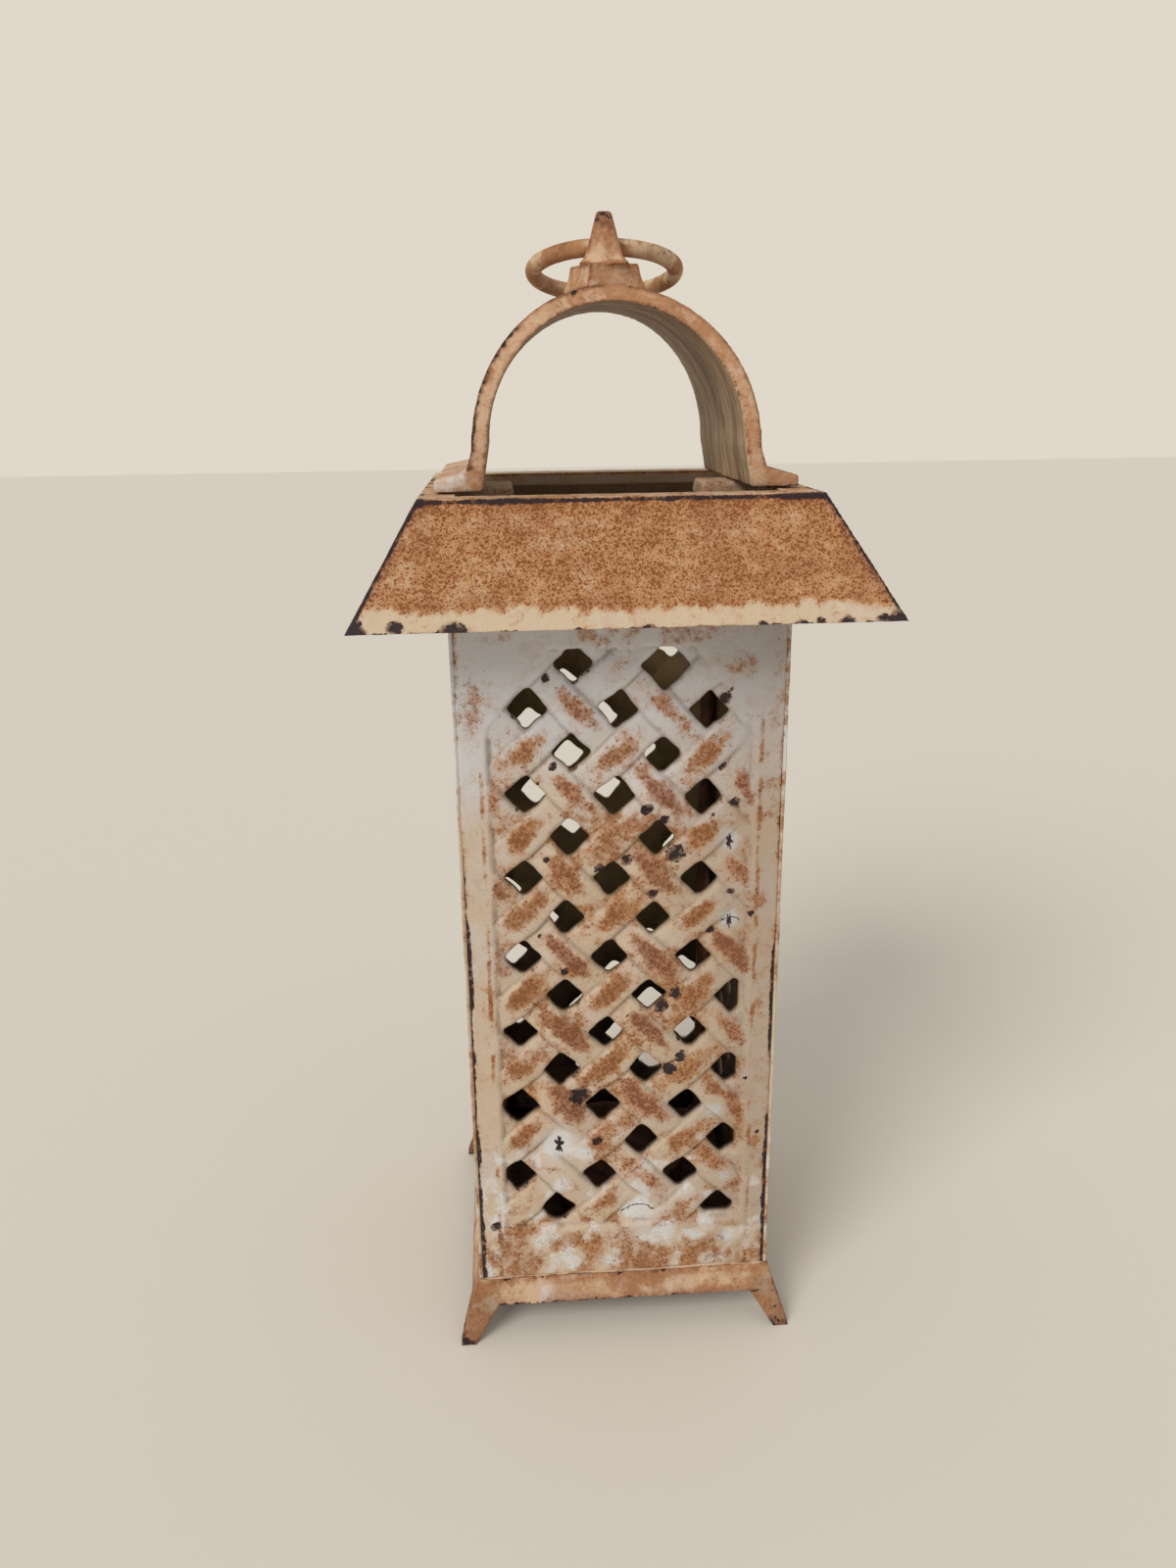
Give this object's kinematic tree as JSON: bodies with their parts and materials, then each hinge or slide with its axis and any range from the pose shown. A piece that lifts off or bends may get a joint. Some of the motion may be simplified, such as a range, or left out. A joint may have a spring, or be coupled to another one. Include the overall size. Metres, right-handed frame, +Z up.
{
  "type": "cast iron candle lantern",
  "caption": "Square candle lantern with woven lattice panels, a hinged back door, a hollow hipped roof, an arched handle and a hanging ring.",
  "frame": {"origin": "on the surface that it stands on, under the middle of the body and roof", "axes": "+Z up, +X to the right of the front panel, -Y towards the viewer; the door is at the back, +Y"},
  "size_m": [0.1264, 0.1264, 0.3014],
  "materials": {
    "panel_paint": "chipped cream paint over rusting cast iron",
    "roof_paint": "cream paint under dense orange rust speckle",
    "base_paint": "cream paint stained with rust",
    "handle_paint": "worn cream paint with brown edges",
    "ring_paint": "rubbed cream paint on forged wire",
    "dark_iron": "dark, lightly rusted"
  },
  "bodies": {
    "lantern": {"base_casting": "base_paint", "candle_cup": "dark_iron", "cup_screw": "dark_iron", "cup_nut": "dark_iron", "panel_front": "panel_paint", "panel_left": "panel_paint", "panel_right": "panel_paint", "hinge_pin_lower": "dark_iron", "hinge_pin_upper": "dark_iron", "top_plate": "panel_paint", "tie_rod_back_right": "dark_iron", "tie_rod_back_left": "dark_iron", "tie_rod_front_left": "dark_iron", "tie_rod_front_right": "dark_iron", "tie_rod_nut_back_right": "dark_iron", "tie_rod_nut_back_left": "dark_iron", "tie_rod_nut_front_left": "dark_iron", "tie_rod_nut_front_right": "dark_iron", "roof_casting": "roof_paint", "roof_screw_back_right": "dark_iron", "roof_screw_back_left": "dark_iron", "roof_screw_front_left": "dark_iron", "roof_screw_front_right": "dark_iron", "arch_handle": "handle_paint", "handle_screw_back_right": "dark_iron", "handle_screw_back_left": "dark_iron", "handle_screw_front_left": "dark_iron", "handle_screw_front_right": "dark_iron", "finial": "handle_paint"},
    "ring": {"hanging_ring": "ring_paint"},
    "door_panel": {"door": "panel_paint"},
    "latch": {"latch_knob": "dark_iron", "latch_tongue": "dark_iron"}
  },
  "joints": [
    {"name": "ring_hinge", "type": "hinge", "parent": "lantern", "child": "ring", "pos_m": [0, 0, 0.29326], "axis": [0.9962, -0.0872, 0], "range_deg": [0, 205.2]},
    {"name": "door_hinge", "type": "hinge", "parent": "lantern", "child": "door_panel", "pos_m": [0.0422, 0.0446, 0.0183], "axis": [0, 0, -1], "range_deg": [0, 110]},
    {"name": "door_latch", "type": "hinge", "parent": "door_panel", "child": "latch", "pos_m": [-0.0274, 0.0416, 0.0265], "axis": [0, 1, 0], "range_deg": [0, 90]}
  ]
}
